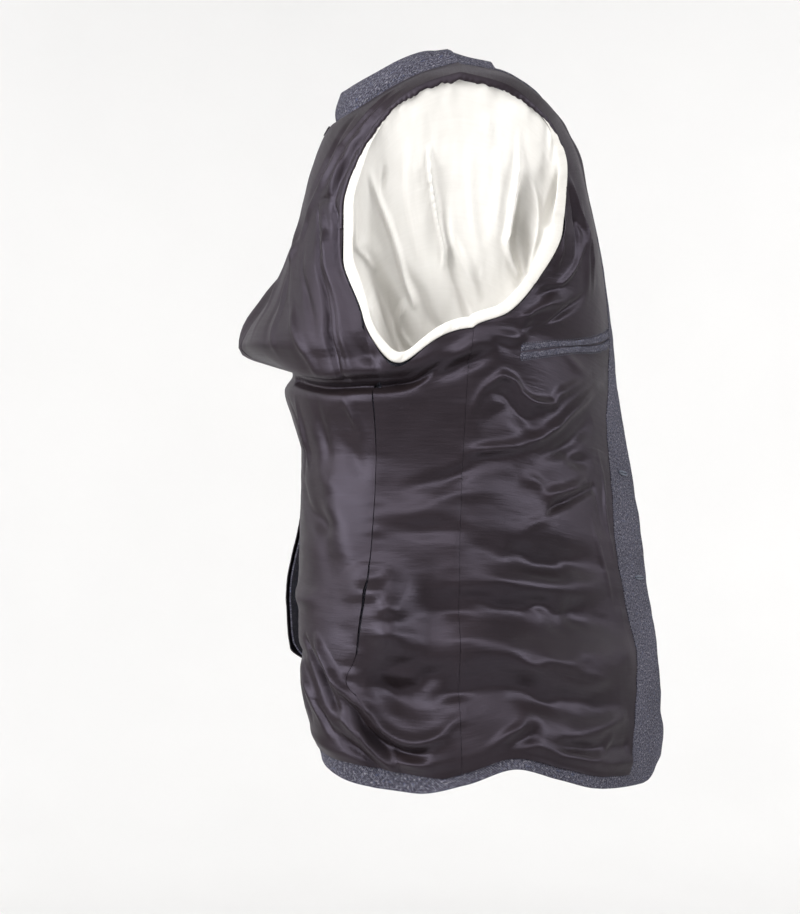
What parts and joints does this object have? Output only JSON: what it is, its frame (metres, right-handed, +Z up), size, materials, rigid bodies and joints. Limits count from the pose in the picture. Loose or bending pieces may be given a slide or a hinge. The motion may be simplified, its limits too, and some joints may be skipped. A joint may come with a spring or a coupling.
{
  "type": "sport coat",
  "caption": "Tweed sport coat worn inside out: satin body lining outside, sleeves pulled inside, tweed collar, facings and hem showing.",
  "frame": {"origin": "middle of the neck opening, level with the tops of the shoulders", "axes": "+Z up along the standing wearer; -Y towards the coat's front; -X towards the coat's left side"},
  "size_m": [0.4758, 0.4415, 0.7595],
  "materials": {
    "tweed": "matte",
    "dark_satin": "satin",
    "pale_satin": "satin",
    "horn": "satin"
  },
  "bodies": {
    "root": {"shell_front_left": "tweed", "shell_side_left": "tweed", "shell_back_left": "tweed", "facing_left": "tweed", "lapel_shell_left": "tweed", "lapel_face_left": "tweed", "hem_left": "tweed", "lining_front_left": "dark_satin", "lining_side_left": "dark_satin", "lining_back_left": "dark_satin", "armhole_border_left": "pale_satin", "sleeve_lining_top_left": "pale_satin", "sleeve_lining_under_left": "pale_satin", "sleeve_shell_top_left": "tweed", "sleeve_shell_under_left": "tweed", "shell_front_right": "tweed", "shell_side_right": "tweed", "shell_back_right": "tweed", "facing_right": "tweed", "lapel_shell_right": "tweed", "lapel_face_right": "tweed", "hem_right": "tweed", "lining_front_right": "dark_satin", "lining_side_right": "dark_satin", "lining_back_right": "dark_satin", "armhole_border_right": "pale_satin", "sleeve_lining_top_right": "pale_satin", "sleeve_lining_under_right": "pale_satin", "sleeve_shell_top_right": "tweed", "sleeve_shell_under_right": "tweed", "upper_collar": "tweed", "under_collar": "tweed", "pocket_jet_upper": "tweed", "pocket_jet_lower": "tweed", "neck_tab": "dark_satin", "button_upper": "horn", "button_lower": "horn"}
  },
  "joints": []
}
